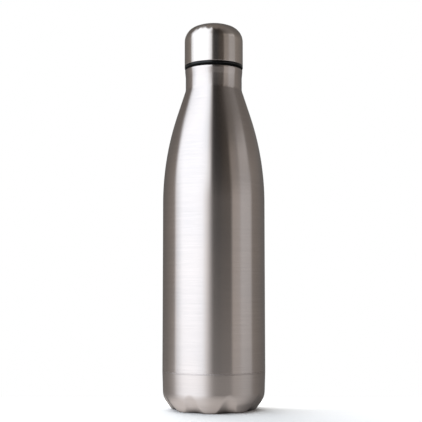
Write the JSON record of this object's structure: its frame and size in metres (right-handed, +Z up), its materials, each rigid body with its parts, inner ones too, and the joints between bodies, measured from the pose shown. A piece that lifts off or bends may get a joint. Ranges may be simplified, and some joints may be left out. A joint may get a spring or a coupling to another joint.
{
  "type": "insulated water bottle",
  "caption": "Double-walled steel vacuum bottle with sloping shoulders, a fluted base and a domed screw stopper on a black seal.",
  "frame": {"origin": "centre of the resting plane, on the bottle's axis", "axes": "+Z up along the bottle's axis; -Y faces the viewer"},
  "size_m": [0.08, 0.08, 0.304],
  "materials": {
    "brushed_steel": "satin",
    "inner_steel": "satin",
    "weld_steel": "satin",
    "copper": "satin",
    "getter_pellet": "matte",
    "seal_glass": "gloss",
    "silicone": "matte",
    "black_plastic": "gloss",
    "foam": "matte"
  },
  "bodies": {
    "flask": {"outer_shell": "brushed_steel", "base_cup": "brushed_steel", "seam_weld": "weld_steel", "liner": "inner_steel", "liner_base": "inner_steel", "mouth_weld": "inner_steel", "copper_foil": "copper", "getter": "getter_pellet", "getter_clip": "inner_steel", "vacuum_seal": "seal_glass", "base_disc": "brushed_steel"},
    "seal_ring": {"gasket": "silicone"},
    "cap": {"cap_shell": "brushed_steel", "plug": "black_plastic", "plug_cover": "black_plastic", "foam_core": "foam"}
  },
  "joints": [
    {"name": "cap_lift", "type": "slide", "parent": "flask", "child": "seal_ring", "axis": [0, 0, 1], "range_m": [0, 0.04]},
    {"name": "cap_turn", "type": "hinge", "parent": "seal_ring", "child": "cap", "pos_m": [0, 0, 0.27], "axis": [0, 0, 1], "range_deg": [0, 2880]}
  ],
  "couplings": [
    {"joint": "cap_lift", "follows": "cap_turn", "m_per_rad": 0.00079577}
  ]
}
